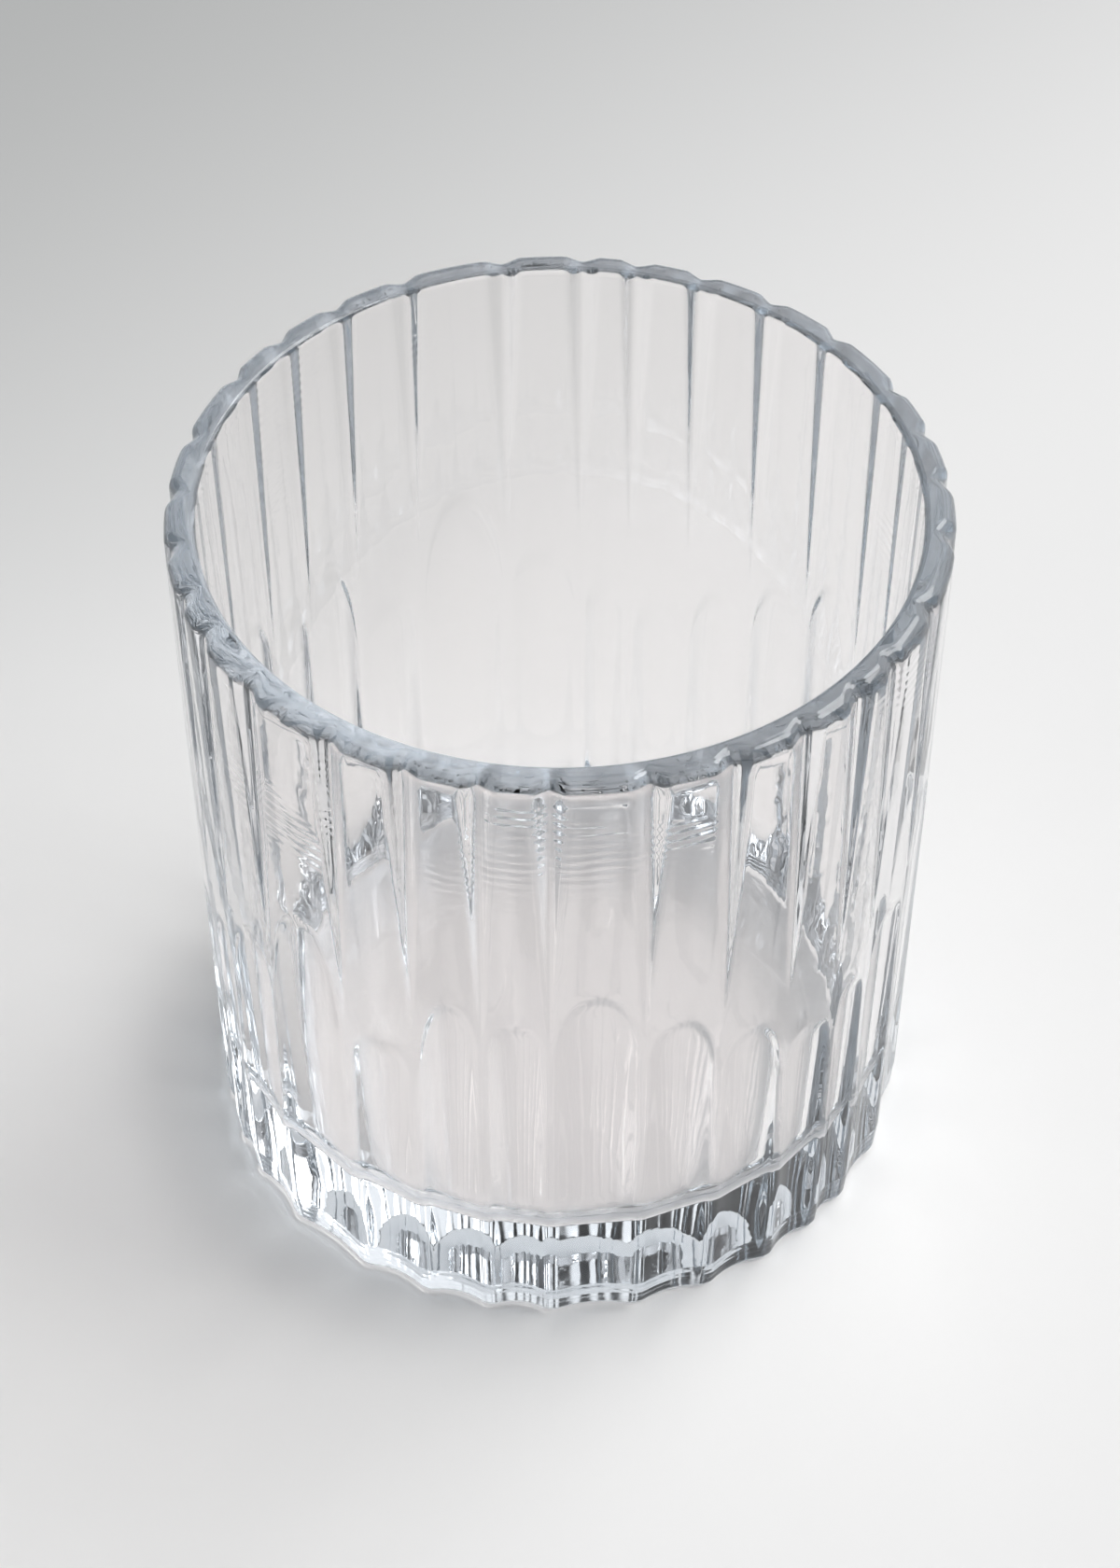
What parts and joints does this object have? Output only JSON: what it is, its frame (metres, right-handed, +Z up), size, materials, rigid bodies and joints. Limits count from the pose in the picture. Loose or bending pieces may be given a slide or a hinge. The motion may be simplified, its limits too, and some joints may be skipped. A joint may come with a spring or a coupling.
{
  "type": "rocks glass",
  "caption": "Short clear pressed-glass tumbler with a thick floor, wavy rim, bulging reeds above and arch-topped scoops below, smooth inside.",
  "frame": {"origin": "centre of the foot, on the surface that the glass stands on", "axes": "+Z up along the axis of the glass, -Y to the front as pictured"},
  "size_m": [0.0838, 0.0838, 0.086],
  "materials": {
    "clear_glass": "clear pressed glass, fire-polished"
  },
  "bodies": {
    "root": {"tumbler": "clear_glass"}
  },
  "joints": []
}
